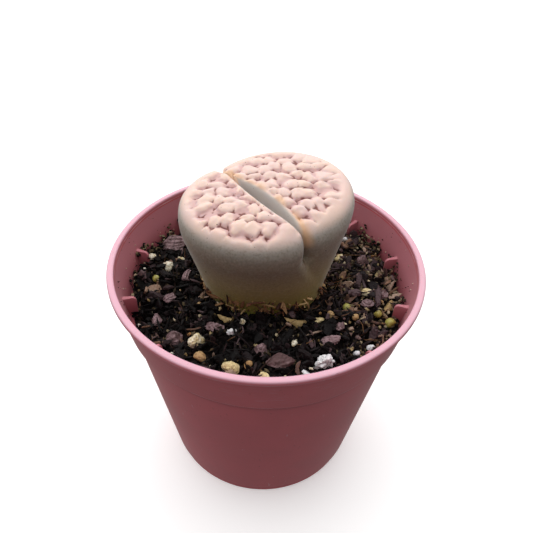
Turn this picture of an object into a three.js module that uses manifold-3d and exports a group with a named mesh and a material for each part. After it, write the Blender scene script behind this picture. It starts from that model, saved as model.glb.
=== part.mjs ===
// A potted lithops: a pair of fused stone-like leaves in a small round nursery pot of bark and pumice mix.
// Millimetres, +Z up. The origin is the centre of the pot's foot, on the surface it stands on.
import * as THREE from "three";
import { mergeVertices } from "three/addons/utils/BufferGeometryUtils.js";
import Module from "manifold-3d";

const wasm = await Module();
wasm.setup();

// ---- Driving dimensions ----

const CLEARANCE = 0.3; // between pieces that touch
const ROUND_SEGMENTS = 60;

// pot
const RIM_RADIUS = 30;
const POT_HEIGHT = 50;
const WALL = 0.7;
const LIP_DEPTH = 1.0; // height of the rolled lip
const LIP_OVERHANG = 0.62; // how far the lip stands out past the collar
const COLLAR_BOTTOM = 40; // height of the stacking step
const COLLAR_STEP = 0.64; // how far the collar stands out past the wall below it
const STEP_RADIUS = 27; // outside of the lower wall just under the step
const BASE_RADIUS = 21; // outside of the lower wall at the foot
const FOOT_HEIGHT = 1.8;
const FOOT_INSET = 0.45; // how far the foot stands in from the wall above it
const FOOT_RING = 0.9; // width of the flat ring that the pot stands on
const FLOOR_UNDERSIDE = 1.2;
const FLOOR_TOP = 2.0;
const FLOOR_CORNER = 1.2; // rounding between floor and wall, inside
const EDGE = 0.15; // rounding of the pot's outer edges
const LIP_FLAT = 0.6; // width of the lip's flat top
const LIP_GROOVE = 0.1; // depth of the fine groove inside the flat
const DRAIN_COUNT = 6;
const DRAIN_RADIUS = 2.0;
const DRAIN_CIRCLE = 13;
const CENTRE_DRAIN_RADIUS = 1.9;
const RIB_COUNT = 12;
const RIB_THICKNESS = 0.7;
const RIB_INNER = 25.3; // radius of the ribs' inner edges
const RIB_TOP = 44.7;
const RIB_CORNER = 1.0;
const DRAIN_SEGMENTS = 14;
const RIB_FIRST = 15; // degrees round from +X

// soil
const SOIL_LEVEL = 41.8;
const SOIL_RINGS = 8;
const SOIL_SEGMENTS = 48;
const SOIL_CORNER = 1.6; // where the soil rounds off against the floor's corner

// leaf pair, above the soil
const FISSURE_ANGLE = -50; // degrees, from the back end of the fissure to its front end
const FISSURE_MIDDLE = new THREE.Vector2(-0.6, 1.6);
const FISSURE_GAPE = 2.8; // widest opening, at the top
const FISSURE_HALF_LENGTH = 11.2;
const FISSURE_FLOOR = 55.3; // height where the two leaves part
const LEAF_TOP = 62.84;
const LEAF_DOME = 1.75; // how far a leaf's face falls from its middle to its edge
const SHOULDER_ROUNDING = 4.4;
const FRONT_SHOULDER_EXTRA = 2.2; // how much softer the shoulder is in front
const FRONT_SHOULDER_FROM = -6; // towards the front, where it starts to grow softer
const FRONT_SHOULDER_TO = 10;
const LIP_ROUNDING = 1.3;
const SEAM_ROUNDING = 0.5; // where the two leaves meet
const CLEFT_FRONT_ROUNDING = 3.5; // of the lips at the fissure's front end
const CLEFT_TURN = 4; // how far to each side of the fissure's middle one end's rounding gives way to the other's
const CLEFT_END_FROM = -2; // where the lip's rounding starts to grow, past the side less past the face
const CLEFT_END_OVER = 6; // and how far it grows over
const CLOSED_GAPE = 0.04; // share of the gape that is left at the fissure's ends
const FISSURE_FADE = 0.8; // how fast the two leaves grow into each other below the fissure floor
const SIDE_LEAN = 0.9; // straight distance to a leaf's leaning side, as a share of the level distance
const FLARE_POWER = 1.06;
// Each face is an oval lined up with the fissure: its middle, half sizes, squareness, its rise per mm outwards,
// and the rounding of its lip at the fissure's back end.
const SMALL_LEAF = {
  side: -1,
  along: -1.75,
  across: -2.15,
  length: 15.9,
  depth: 14.85,
  squareness: 1.9,
  tilt: 0.03,
  backRounding: 4.5,
};
const LARGE_LEAF = {
  side: 1,
  along: -2.05,
  across: 4.1,
  length: 15.7,
  depth: 16.5,
  squareness: 2,
  tilt: 0.084,
  backRounding: 8,
};
const NECK_LEVEL = 42; // height of the waist at the soil
const NECK_MIDDLE = new THREE.Vector2(-0.5, 2.3);
const NECK_WIDTH = 11.6;
const NECK_DEPTH = 9.2;
const NECK_SQUARENESS = 2.4; // 2 is an ellipse, more is squarer
const BURIED_DEPTH = 9; // from the waist down to the root
const LEAF_HEART = 50; // height of a point inside the body that sees its whole surface
const LEAF_GRID = { around: 52, rings: 40 };
const LEAF_CUT_GRID = { around: 30, rings: 18 }; // for the socket in the soil
const FISSURE_RINGS = 0.28; // share of the rings that line the fissure
const RING_CROWDING = 1.35; // above 1 the other rings crowd towards the lips
const LEAST_HALF_GAP = 0.1;
const LIP_MARGIN = 0.2; // how far past the lip's edge the fissure's rings reach

// roots
const TAPROOT_RADIUS = 2.2;
const TAPROOT_TIP = 0.5;
const TAPROOT_LENGTH = 22;
const TAPROOT_SWAY = 1.2;
const ROOT_WAVE = 1.4 * Math.PI; // how far through a wave a root sways
const ROOT_DRIFT = 0.6; // sideways drift of a root, as a share of its sway
const ROOT_SIDES = 7;
const ROOT_STEPS = 5;
const SIDE_ROOTS = 9;
const SIDE_ROOT_RADIUS = 0.6;
const SIDE_ROOT_LENGTH = 13;
const SIDE_ROOT_SHORTENING = 0.4; // of the lowest side root against the highest
const SIDE_ROOT_SWAY = 1;
const SIDE_ROOT_SPREAD = 52; // degrees out from straight down
const SIDE_ROOT_SPREAD_CHANGE = 10;
const SIDE_ROOT_TURN = 137.5; // degrees from one side root to the next
const SIDE_ROOT_RANGE = 0.8; // share of the main root that carries side roots

// top dressing
const SHOWN_SHARE = 0.3; // how much of half a piece's height its middle stands above the soil
const DIMPLE_GROWTH = 2.5 * CLEARANCE; // how much longer, wider and higher than a piece its hollow is

// ---- Shared working functions ----

// Repeatable random numbers from 0 to 1.
function randomStream(seed) {
  let state = seed;
  return () => {
    state = (state + 0x6d2b79f5) | 0;
    let t = Math.imul(state ^ (state >>> 15), 1 | state);
    t = (t + Math.imul(t ^ (t >>> 7), 61 | t)) ^ t;
    return ((t ^ (t >>> 14)) >>> 0) / 4294967296;
  };
}

const degrees = THREE.MathUtils.degToRad;

// A geometry with shared vertices merged and collapsed triangles dropped.
function welded(geometry) {
  const bare = geometry.clone();
  bare.deleteAttribute("normal");
  bare.deleteAttribute("uv");
  const sameVertex = 1e-4;
  const merged = mergeVertices(bare, sameVertex);
  const kept = [];
  const index = merged.index.array;
  for (let i = 0; i < index.length; i += 3) {
    const [a, b, c] = index.subarray(i, i + 3);
    if (a !== b && b !== c && c !== a) kept.push(a, b, c);
  }
  merged.setIndex(kept);
  return merged;
}

// A closed geometry as a solid that can be joined and cut.
function solidOf(geometry) {
  const closed = welded(geometry);
  return new wasm.Manifold(
    new wasm.Mesh({
      numProp: 3,
      vertProperties: new Float32Array(closed.attributes.position.array),
      triVerts: new Uint32Array(closed.index.array),
    }),
  );
}

function geometryOf(solid) {
  const mesh = solid.getMesh();
  const geometry = new THREE.BufferGeometry();
  geometry.setAttribute("position", new THREE.BufferAttribute(mesh.vertProperties, 3));
  geometry.setIndex(new THREE.BufferAttribute(mesh.triVerts, 1));
  geometry.computeVertexNormals();
  return geometry;
}

// A profile of [radius, height] points turned round the Z axis.
function turned(profile, segments = ROUND_SEGMENTS) {
  const points = profile.map(([radius, height]) => new THREE.Vector2(radius, height));
  return new THREE.LatheGeometry(points, segments).rotateX(Math.PI / 2);
}

// Moves each vertex of a geometry to what the function makes of it.
function reshaped(geometry, move) {
  const positions = geometry.attributes.position;
  const point = new THREE.Vector3();
  for (let i = 0; i < positions.count; i += 1) {
    point.fromBufferAttribute(positions, i);
    move(point);
    positions.setXYZ(i, point.x, point.y, point.z);
  }
  return geometry;
}

// A mesh's geometry with the mesh's own position and turn applied.
function inPlace(mesh) {
  mesh.updateMatrix();
  return mesh.geometry.clone().applyMatrix4(mesh.matrix);
}

function finish(color, roughness) {
  return new THREE.MeshStandardMaterial({ color, roughness, metalness: 0 });
}

function piece(name, geometry, material) {
  const mesh = new THREE.Mesh(geometry, material);
  mesh.name = name;
  return mesh;
}

// ---- Pot ----

const wallSlope = (STEP_RADIUS - BASE_RADIUS) / (COLLAR_BOTTOM - FOOT_HEIGHT);
const outerWallRadius = (height) => BASE_RADIUS + wallSlope * (height - FOOT_HEIGHT);
const innerWallRadius = (height) => outerWallRadius(height) - WALL;
const collarTopRadius = RIM_RADIUS - LIP_OVERHANG;
const collarFootRadius = STEP_RADIUS + COLLAR_STEP;
const collarSlope = (collarTopRadius - collarFootRadius) / (POT_HEIGHT - LIP_DEPTH - COLLAR_BOTTOM);
const lipUnderside = POT_HEIGHT - LIP_DEPTH;

// One wall from the foot ring up the outside, over the lip, and down the inside to the floor.
function potProfile() {
  const footEdge = BASE_RADIUS - FOOT_INSET;
  const hair = EDGE / 3;
  const flatOutside = RIM_RADIUS - 3 * EDGE;
  const flatInside = flatOutside - LIP_FLAT;
  return [
    [0, FLOOR_UNDERSIDE],
    [footEdge - FOOT_RING - FLOOR_UNDERSIDE / 2, FLOOR_UNDERSIDE],
    [footEdge - FOOT_RING - EDGE, 0],
    [footEdge - EDGE, 0],
    [footEdge, EDGE],
    [BASE_RADIUS - 2 * EDGE, FOOT_HEIGHT],
    [BASE_RADIUS, FOOT_HEIGHT + hair],
    [STEP_RADIUS, COLLAR_BOTTOM - hair],
    [collarFootRadius - EDGE, COLLAR_BOTTOM],
    [collarFootRadius, COLLAR_BOTTOM + EDGE],
    [collarTopRadius, lipUnderside],
    [RIM_RADIUS - EDGE, lipUnderside + hair],
    [RIM_RADIUS, lipUnderside + EDGE],
    [RIM_RADIUS, POT_HEIGHT - 3 * EDGE],
    [RIM_RADIUS - EDGE, POT_HEIGHT - EDGE],
    [flatOutside, POT_HEIGHT],
    [flatInside, POT_HEIGHT],
    [flatInside - LIP_GROOVE, POT_HEIGHT - LIP_GROOVE],
    [flatInside - 2 * LIP_GROOVE, POT_HEIGHT],
    [flatInside - 3 * LIP_GROOVE, POT_HEIGHT - hair],
    [collarTopRadius - WALL, POT_HEIGHT - 3 * EDGE],
    [collarFootRadius - WALL, COLLAR_BOTTOM + EDGE],
    [innerWallRadius(COLLAR_BOTTOM) + EDGE, COLLAR_BOTTOM],
    [innerWallRadius(COLLAR_BOTTOM), COLLAR_BOTTOM - EDGE],
    [innerWallRadius(FLOOR_TOP + FLOOR_CORNER), FLOOR_TOP + FLOOR_CORNER],
    [innerWallRadius(FLOOR_TOP) - FLOOR_CORNER / 4, FLOOR_TOP + FLOOR_CORNER / 4],
    [innerWallRadius(FLOOR_TOP) - FLOOR_CORNER, FLOOR_TOP],
    [0, FLOOR_TOP],
  ];
}

// A thin upright fin on the inside of the wall. It keeps nested pots apart.
function stackingRib(angle, clearance = 0) {
  const edge = RIB_INNER - clearance;
  const top = RIB_TOP + clearance;
  const foot = COLLAR_BOTTOM - (STEP_RADIUS - WALL - edge) / wallSlope;
  const wallAtTop = collarFootRadius - WALL / 2 + (top - COLLAR_BOTTOM) * collarSlope;
  const outline = new THREE.Shape();
  outline.moveTo(edge, foot);
  outline.lineTo(outerWallRadius(foot) - WALL / 2, foot);
  outline.lineTo(STEP_RADIUS - WALL / 2, COLLAR_BOTTOM);
  outline.lineTo(wallAtTop, top);
  outline.lineTo(edge + RIB_CORNER, top);
  outline.absarc(edge + RIB_CORNER, top - RIB_CORNER, RIB_CORNER, Math.PI / 2, Math.PI, false);
  outline.closePath();
  const thickness = RIB_THICKNESS + 2 * clearance;
  return new THREE.ExtrudeGeometry(outline, { depth: thickness, bevelEnabled: false, curveSegments: 3 })
    .translate(0, 0, -thickness / 2)
    .rotateX(Math.PI / 2)
    .rotateZ(angle);
}

const ribAngles = Array.from({ length: RIB_COUNT }, (_, i) =>
  degrees(RIB_FIRST + (360 / RIB_COUNT) * i),
);

function drainHole(radius, x, y) {
  const height = 3 * FLOOR_TOP;
  return new THREE.CylinderGeometry(radius, radius, height, DRAIN_SEGMENTS)
    .rotateX(Math.PI / 2)
    .translate(x, y, 0);
}

function pot() {
  let solid = solidOf(turned(potProfile()));
  for (const angle of ribAngles) solid = solid.add(solidOf(stackingRib(angle)));
  solid = solid.subtract(solidOf(drainHole(CENTRE_DRAIN_RADIUS, 0, 0)));
  for (let i = 0; i < DRAIN_COUNT; i += 1) {
    const angle = (2 * Math.PI * i) / DRAIN_COUNT;
    const [x, y] = [DRAIN_CIRCLE * Math.cos(angle), DRAIN_CIRCLE * Math.sin(angle)];
    solid = solid.subtract(solidOf(drainHole(DRAIN_RADIUS, x, y)));
  }
  return piece("pot", geometryOf(solid), finish(0x9c5560, 0.45));
}

// ---- Leaf pair ----

// The larger of two values, eased together where they are within `reach` of each other.
function softMax(a, b, reach) {
  const near = Math.max(reach - Math.abs(a - b), 0) / reach;
  return Math.max(a, b) + (near * near * reach) / 4;
}

const along = new THREE.Vector2(Math.cos(degrees(FISSURE_ANGLE)), Math.sin(degrees(FISSURE_ANGLE)));
const across = new THREE.Vector2(-along.y, along.x);

// Radius of an oval with half sizes a and b, in the direction (u, v).
function ovalRadius(u, v, a, b, squareness) {
  const reach = Math.abs(u / a) ** squareness + Math.abs(v / b) ** squareness;
  return Math.hypot(u, v) / reach ** (1 / squareness);
}

// How far a point is past a leaf's side and past its face, below zero inside them. The leaf flares from
// the oval waist at the soil to its own oval face, and closes downwards under the soil.
function pastSideAndFace(leaf, point) {
  const rise = (point.z - NECK_LEVEL) / (LEAF_TOP - NECK_LEVEL);
  const flare = rise > 0 ? Math.pow(rise, FLARE_POWER) : 0;
  const faceMiddle = FISSURE_MIDDLE.clone()
    .addScaledVector(along, leaf.along)
    .addScaledVector(across, leaf.across);
  const middle = NECK_MIDDLE.clone().lerp(faceMiddle, flare);
  const out = new THREE.Vector2(point.x, point.y).sub(middle);
  const distance = Math.max(out.length(), 1e-6);
  const [u, v] = [out.dot(along), out.dot(across)];
  const faceRadius = ovalRadius(u, v, leaf.length, leaf.depth, leaf.squareness);
  const neckRadius = ovalRadius(out.x, out.y, NECK_WIDTH, NECK_DEPTH, NECK_SQUARENESS);
  const sunk = Math.max(NECK_LEVEL - point.z, 0) / BURIED_DEPTH;
  const closing = Math.sqrt(Math.max(1 - sunk * sunk, 0));
  const radius = THREE.MathUtils.lerp(neckRadius, faceRadius, flare) * closing;
  const pastTip = Math.max(sunk - 1, 0) * BURIED_DEPTH;
  const pastSide = SIDE_LEAN * (distance - radius) + pastTip;
  const faceHeight = LEAF_TOP - LEAF_DOME * (distance / faceRadius) ** 2 + leaf.tilt * v;
  return [pastSide, point.z - faceHeight];
}

// Half the width of the fissure at a point, below zero where the leaves are fused. It is widest at the
// top of its middle and closes towards its ends and its floor.
function halfGapAt(point) {
  const s = along.dot(new THREE.Vector2(point.x, point.y).sub(FISSURE_MIDDLE));
  const height = point.z - FISSURE_FLOOR;
  if (height < 0) return FISSURE_FADE * height;
  const gape = Math.max(1 - (s / FISSURE_HALF_LENGTH) ** 2, CLOSED_GAPE);
  return ((FISSURE_GAPE / 2) * height * gape) / (LEAF_TOP - FISSURE_FLOOR);
}

// How far out a leaf's shoulder is rounded at a point: more in front, where y is lowest.
function shoulderAt(point) {
  const atFront = THREE.MathUtils.smoothstep(-point.y, FRONT_SHOULDER_FROM, FRONT_SHOULDER_TO);
  return SHOULDER_ROUNDING + FRONT_SHOULDER_EXTRA * atFront;
}

// How far a point is outside one leaf, which its wall of the fissure cuts off.
function outsideLeaf(leaf, point) {
  const [pastSide, pastFace] = pastSideAndFace(leaf, point);
  const body = softMax(pastFace, pastSide, shoulderAt(point));
  const spot = new THREE.Vector2(point.x, point.y).sub(FISSURE_MIDDLE);
  const pastWall = halfGapAt(point) - leaf.side * across.dot(spot);
  const towardsSide = THREE.MathUtils.clamp((pastSide - pastFace - CLEFT_END_FROM) / CLEFT_END_OVER, 0, 1);
  const frontEnd = THREE.MathUtils.smoothstep(along.dot(spot), -CLEFT_TURN, CLEFT_TURN);
  const endRounding = THREE.MathUtils.lerp(leaf.backRounding, CLEFT_FRONT_ROUNDING, frontEnd);
  return softMax(body, pastWall, THREE.MathUtils.lerp(LIP_ROUNDING, endRounding, towardsSide));
}

// Both leaves, eased into one body where they are fused.
function outsideLeafPair(point) {
  return -softMax(-outsideLeaf(SMALL_LEAF, point), -outsideLeaf(LARGE_LEAF, point), SEAM_ROUNDING);
}

// The body with no fissure in it.
function outsideWhole(point) {
  const outsides = [SMALL_LEAF, LARGE_LEAF].map((leaf) => {
    const [pastSide, pastFace] = pastSideAndFace(leaf, point);
    return softMax(pastFace, pastSide, shoulderAt(point));
  });
  return Math.min(...outsides);
}

const leafHeart = new THREE.Vector3(FISSURE_MIDDLE.x, FISSURE_MIDDLE.y, LEAF_HEART);

// Where a ray from the heart meets the surface that lies `clearance` outside a body.
function surfacePoint(outside, ray, clearance) {
  const at = (reach) => leafHeart.clone().addScaledVector(ray, reach);
  const [step, farthest, halvings] = [0.5, 30, 12];
  let far = step;
  while (far < farthest && outside(at(far)) < clearance) far += step;
  let near = far - step;
  for (let i = 0; i < halvings; i += 1) {
    const half = (near + far) / 2;
    if (outside(at(half)) < clearance) near = half;
    else far = half;
  }
  return at(far);
}

// A direction from the heart: `turn` goes round in the fissure's plane, `tilt` out of it.
function rayAt(turn, tilt) {
  const level = Math.cos(tilt) * Math.cos(turn);
  const sideways = Math.sin(tilt);
  return new THREE.Vector3(
    across.x * sideways + along.x * level,
    across.y * sideways + along.y * level,
    Math.cos(tilt) * Math.sin(turn),
  );
}

// A sphere round the heart with its poles on the leaves' outer flanks. Its middle rings line the fissure
// and its lips, and each vertex is moved out along its own ray to the body's surface.
function leafPairGeometry(clearance, grid) {
  return reshaped(new THREE.SphereGeometry(1, grid.around, grid.rings), (vertex) => {
    const latitude = Math.asin(THREE.MathUtils.clamp(vertex.y, -1, 1)) / (Math.PI / 2);
    const share = Math.abs(latitude);
    const atPole = share > 0.9999;
    const turn = atPole ? 0 : Math.atan2(vertex.z, vertex.x);
    const ridge = surfacePoint(outsideWhole, rayAt(turn, 0), clearance);
    const halfGap = Math.max(halfGapAt(ridge), LEAST_HALF_GAP) + LIP_MARGIN;
    const lip = Math.atan2(halfGap, ridge.distanceTo(leafHeart));
    const beyond = Math.max(share - FISSURE_RINGS, 0) / (1 - FISSURE_RINGS);
    const inside = Math.min(share / FISSURE_RINGS, 1);
    const tilt = lip * inside + (Math.PI / 2 - lip) * beyond ** RING_CROWDING;
    vertex.copy(surfacePoint(outsideLeafPair, rayAt(turn, Math.sign(latitude) * tilt), clearance));
  });
}

function leafPair() {
  return piece("leaf_pair", welded(leafPairGeometry(0, LEAF_GRID)), finish(0xd9c4b2, 0.55));
}

// ---- Roots ----

const rootTop = NECK_LEVEL - BURIED_DEPTH - CLEARANCE;

// A tapering root that hangs from its thick end at the origin and sways to one side as it goes down.
function taperedRoot(thick, thin, length, sway, clearance) {
  const [top, tip] = [thick + clearance, thin + clearance];
  return reshaped(
    new THREE.CylinderGeometry(top, tip, length + 4 * clearance, ROOT_SIDES, ROOT_STEPS)
      .rotateX(Math.PI / 2)
      .translate(0, 0, clearance - length / 2),
    (point) => {
      const down = THREE.MathUtils.clamp(-point.z / length, 0, 1);
      point.x += sway * Math.sin(ROOT_WAVE * down);
      point.y += ROOT_DRIFT * sway * (1 - Math.cos(Math.PI * down));
    },
  );
}

// One main root, with side roots that leave it in a spiral and slope outwards and down.
function rootSolid(clearance = 0) {
  const main = taperedRoot(TAPROOT_RADIUS, TAPROOT_TIP, TAPROOT_LENGTH, TAPROOT_SWAY, clearance);
  let solid = solidOf(main);
  for (let i = 0; i < SIDE_ROOTS; i += 1) {
    const share = (i + 1) / (SIDE_ROOTS + 1);
    const down = share * SIDE_ROOT_RANGE;
    const length = SIDE_ROOT_LENGTH * (1 - SIDE_ROOT_SHORTENING * share);
    const spread = SIDE_ROOT_SPREAD + SIDE_ROOT_SPREAD_CHANGE * Math.sin(3 * i);
    const side = taperedRoot(SIDE_ROOT_RADIUS, SIDE_ROOT_RADIUS / 2, length, SIDE_ROOT_SWAY, clearance)
      .rotateY(-degrees(spread))
      .rotateZ(degrees(SIDE_ROOT_TURN * i))
      .translate(TAPROOT_SWAY * Math.sin(ROOT_WAVE * down), down / 2, -down * TAPROOT_LENGTH);
    solid = solid.add(solidOf(side));
  }
  return solid.translate([NECK_MIDDLE.x, NECK_MIDDLE.y, rootTop]);
}

function rootSystem() {
  return piece("root_system", geometryOf(rootSolid()), finish(0xb9a078, 0.8));
}

// ---- Top dressing ----

// Height of the soil's surface at a place: two crossing waves, a hollow by the wall on the left and a bank
// behind the plant. Each swelling is [x, y, height, spread squared].
const SWELLINGS = [
  [-22, -8, -1.6, 40],
  [2, 25, 0.9, 160],
];
function soilHeight(x, y) {
  let height = SOIL_LEVEL;
  height += 0.35 * Math.sin(0.31 * x + 1.1) * Math.cos(0.27 * y);
  height += 0.25 * Math.sin(0.52 * y - 0.4 * x);
  for (const [atX, atY, swell, spread] of SWELLINGS) {
    height += swell * Math.exp(-((x - atX) ** 2 + (y - atY) ** 2) / spread);
  }
  return height;
}

const lump = () => new THREE.DodecahedronGeometry(0.5, 0);
const bead = () => new THREE.SphereGeometry(0.5, 8, 5);
const spike = () => new THREE.ConeGeometry(0.5, 1, 6, 2).rotateZ(-Math.PI / 2);

// What lies on the soil, by kind. Each place is [x, y, length, width, height, turn, lean], the turn round
// the vertical and the lean about the piece's own length in degrees.
const DRESSING = [
  {
    name: "bark_chip",
    shape: lump,
    jitter: 0.1,
    material: () => finish(0x5c4247, 0.85),
    places: [
      [-20.0, 12.6, 6.2, 4.8, 1.9, 15, 38],
      [-16.5, -13.6, 3.8, 3.0, 1.3, 60, 12],
      [-9.2, -11.6, 4.0, 2.8, 1.2, -20, -10],
      [-0.4, -16.4, 3.0, 2.8, 1.4, 40, 15],
      [3.2, -19.4, 6.0, 3.4, 1.5, 12, 10],
      [12.2, -14.0, 4.2, 2.6, 1.4, 25, -14],
      [23.2, -1.6, 3.4, 2.6, 1.1, 70, 10],
      [19.8, -4.0, 3.0, 2.0, 1.1, 10, 20],
      [14.2, -10.6, 2.4, 1.8, 1.2, 50, 0],
      [-16.2, 2.2, 4.2, 1.6, 1.0, 80, 35],
      [-20.8, -8.0, 3.6, 2.2, 1.0, 100, -8],
      [-18.9, -3.2, 3.2, 2.4, 1.0, 30, 16],
      [8.4, 21.6, 4.2, 3.0, 1.3, -10, 14],
      [20.4, 9.4, 3.8, 2.6, 1.2, 65, -12],
      [-7.4, 22.0, 3.6, 2.8, 1.2, 20, 8],
    ],
  },
  {
    name: "pumice_grain",
    shape: lump,
    jitter: 0.16,
    material: () => finish(0xd8c48e, 0.9),
    places: [
      [-20.4, 5.4, 2.8, 2.3, 2.0, 20, 0],
      [-18.2, 8.2, 1.5, 1.3, 1.2, 0, 0],
      [-24.0, 8.2, 2.0, 1.6, 1.4, 60, 0],
      [-12.4, -14.6, 3.1, 2.7, 2.4, 35, 0],
      [-5.6, -20.8, 3.0, 2.3, 2.0, -15, 0],
      [19.8, -0.6, 2.4, 2.0, 1.7, 10, 0],
      [15.4, 9.8, 2.2, 1.9, 1.6, 45, 0],
      [0.2, -23.0, 2.0, 1.8, 1.5, 0, 0],
      [10.0, -8.9, 2.5, 1.4, 1.1, 35, 0],
      [5.6, -14.4, 1.7, 1.1, 1.0, 70, 0],
      [-4.2, -9.6, 1.4, 1.2, 1.0, 0, 0],
      [0.8, 23.4, 2.0, 1.8, 1.5, 30, 0],
    ],
  },
  {
    name: "perlite_grain",
    shape: lump,
    jitter: 0.2,
    material: () => finish(0xf0efee, 0.95),
    places: [
      [10.9, -18.6, 3.3, 2.7, 2.3, 15, 0],
      [7.5, -21.6, 2.2, 1.1, 1.0, -50, 0],
      [-6.0, -12.9, 1.7, 1.3, 1.1, 0, 0],
      [19.4, -15.0, 1.5, 1.1, 1.0, 20, 0],
      [16.4, -16.6, 1.3, 1.0, 0.9, 70, 0],
      [16.8, 15.8, 1.5, 1.3, 1.1, 0, 0],
    ],
  },
  {
    name: "clay_pellet",
    shape: bead,
    jitter: 0.05,
    material: () => finish(0xa87f52, 0.8),
    places: [
      [-11.2, -18.8, 2.2, 2.0, 1.9, 0, 0],
      [-16.6, 18.6, 2.2, 2.0, 1.9, 0, 0],
      [12.4, -7.2, 1.6, 1.6, 1.5, 0, 0],
      [17.0, -7.8, 1.6, 1.4, 1.3, 0, 0],
      [-2.6, -20.0, 1.9, 1.3, 1.2, 75, 0],
      [-13.0, -5.6, 1.4, 1.3, 1.2, 0, 0],
    ],
  },
  {
    name: "fertiliser_prill",
    shape: bead,
    jitter: 0.02,
    material: () => finish(0xb4a83e, 0.4),
    places: [
      [21.6, -6.6, 1.5, 1.5, 1.4, 0, 0],
      [23.8, -8.6, 2.0, 1.9, 1.8, 0, 0],
      [15.8, -4.9, 1.5, 1.5, 1.4, 0, 0],
      [-22.2, 1.6, 1.5, 1.4, 1.4, 0, 0],
    ],
  },
  {
    name: "leaf_scrap",
    shape: spike,
    jitter: 0.04,
    material: () => finish(0xa8905f, 0.7),
    places: [
      [5.8, -9.0, 4.2, 1.3, 0.9, -12, 0],
      [-7.6, -8.4, 3.0, 1.2, 0.7, 160, 0],
      [24.2, -4.4, 2.8, 1.5, 0.9, 60, 0],
    ],
  },
];

// One loose piece: a unit shape with its vertices nudged, stretched to size, and laid on the soil.
function loosePiece(kind, number, place) {
  const [x, y, length, width, height, turn, lean] = place;
  const random = randomStream(number + 100 * kind.name.length);
  const nudge = () => (random() - 0.5) * kind.jitter;
  const geometry = reshaped(welded(kind.shape()), (point) => {
    point.set(point.x + nudge(), point.y + nudge(), point.z + nudge());
  });
  geometry.scale(length, width, height);
  const mesh = piece(`${kind.name}_${String(number).padStart(2, "0")}`, geometry, kind.material());
  mesh.rotation.set(degrees(lean), 0, degrees(turn), "ZYX");
  mesh.position.set(x, y, soilHeight(x, y) + (SHOWN_SHARE * height) / 2);
  return mesh;
}

function topDressing() {
  const group = new THREE.Group();
  for (const kind of DRESSING) {
    kind.places.forEach((place, i) => group.add(loosePiece(kind, i + 1, place)));
  }
  return group;
}

// The hollow that a loose piece presses into the soil, a clearance bigger than the piece all round.
function dimple(mesh) {
  const grown = mesh.clone();
  grown.geometry = mesh.geometry.clone();
  grown.geometry.computeBoundingBox();
  const size = grown.geometry.boundingBox.getSize(new THREE.Vector3());
  const grow = (extent) => 1 + DIMPLE_GROWTH / extent;
  grown.geometry.scale(grow(size.x), grow(size.y), grow(size.z));
  return solidOf(inPlace(grown));
}

// ---- Soil ----

// The mix fills the pot from its floor to just past the stacking step, shaped to the wall, and is hollow
// where the plant, its roots, the stacking ribs and the loose pieces sit.
function soil(loosePieces) {
  const rim = collarFootRadius - WALL - CLEARANCE;
  const bottom = FLOOR_TOP + CLEARANCE;
  const profile = [
    [0, bottom],
    [innerWallRadius(FLOOR_TOP) - SOIL_CORNER, bottom],
    [innerWallRadius(FLOOR_TOP + SOIL_CORNER) - CLEARANCE, FLOOR_TOP + SOIL_CORNER],
    [innerWallRadius(COLLAR_BOTTOM) - CLEARANCE, COLLAR_BOTTOM + EDGE],
    [rim, COLLAR_BOTTOM + CLEARANCE + EDGE],
  ];
  for (let i = 0; i <= SOIL_RINGS; i += 1) profile.push([rim * (1 - i / SOIL_RINGS), SOIL_LEVEL]);
  const body = reshaped(turned(profile, SOIL_SEGMENTS), (point) => {
    if (point.z > SOIL_LEVEL - EDGE) point.z = soilHeight(point.x, point.y);
  });
  let solid = solidOf(body)
    .subtract(solidOf(leafPairGeometry(2 * CLEARANCE, LEAF_CUT_GRID)))
    .subtract(rootSolid(CLEARANCE));
  for (const angle of ribAngles) solid = solid.subtract(solidOf(stackingRib(angle, CLEARANCE)));
  for (const mesh of loosePieces) solid = solid.subtract(dimple(mesh));
  return piece("soil", geometryOf(solid), finish(0x1d1613, 0.95));
}

// ---- Assembly ----

const dressing = topDressing();
const pottedLithops = new THREE.Group();
pottedLithops.add(pot(), soil(dressing.children), leafPair(), rootSystem(), dressing);

export default pottedLithops;
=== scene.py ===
# A potted lithops: the finished look of its pot, leaf pair, potting mix and top dressing, round the packed
# frame. Lengths are worked out in millimetres and turned into the scene's metres as each mesh is made.
import bpy
import numpy as np
from mathutils import Matrix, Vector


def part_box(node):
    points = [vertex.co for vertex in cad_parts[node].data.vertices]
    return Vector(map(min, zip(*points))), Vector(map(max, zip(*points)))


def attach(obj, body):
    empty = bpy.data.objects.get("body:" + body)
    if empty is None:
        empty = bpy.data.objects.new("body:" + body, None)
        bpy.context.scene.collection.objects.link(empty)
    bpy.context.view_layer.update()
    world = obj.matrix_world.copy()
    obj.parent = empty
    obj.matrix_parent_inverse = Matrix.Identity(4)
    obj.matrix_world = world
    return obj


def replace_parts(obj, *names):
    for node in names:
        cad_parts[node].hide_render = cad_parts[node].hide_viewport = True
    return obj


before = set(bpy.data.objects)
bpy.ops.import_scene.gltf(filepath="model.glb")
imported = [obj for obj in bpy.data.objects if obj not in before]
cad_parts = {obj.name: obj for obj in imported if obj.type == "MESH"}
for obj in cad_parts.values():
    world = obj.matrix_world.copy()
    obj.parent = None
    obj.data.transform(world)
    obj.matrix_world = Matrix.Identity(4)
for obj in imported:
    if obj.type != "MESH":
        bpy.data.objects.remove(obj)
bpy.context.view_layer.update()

# ---- Pot ----
# A thin round nursery pot, injection moulded in dusty rose plastic: tapered wall, wider collar, rolled lip.
# Twelve fins stand inside the collar so that nested pots come apart, and seven holes drain the floor.

MM = 0.001


def full_turn(count):
    """Angles spread evenly round a circle."""
    return np.linspace(0, 2 * np.pi, count, endpoint=False)


def heading_way(turn):
    """The level unit step at each angle."""
    return np.stack([np.cos(turn), np.sin(turn)], -1)


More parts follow.
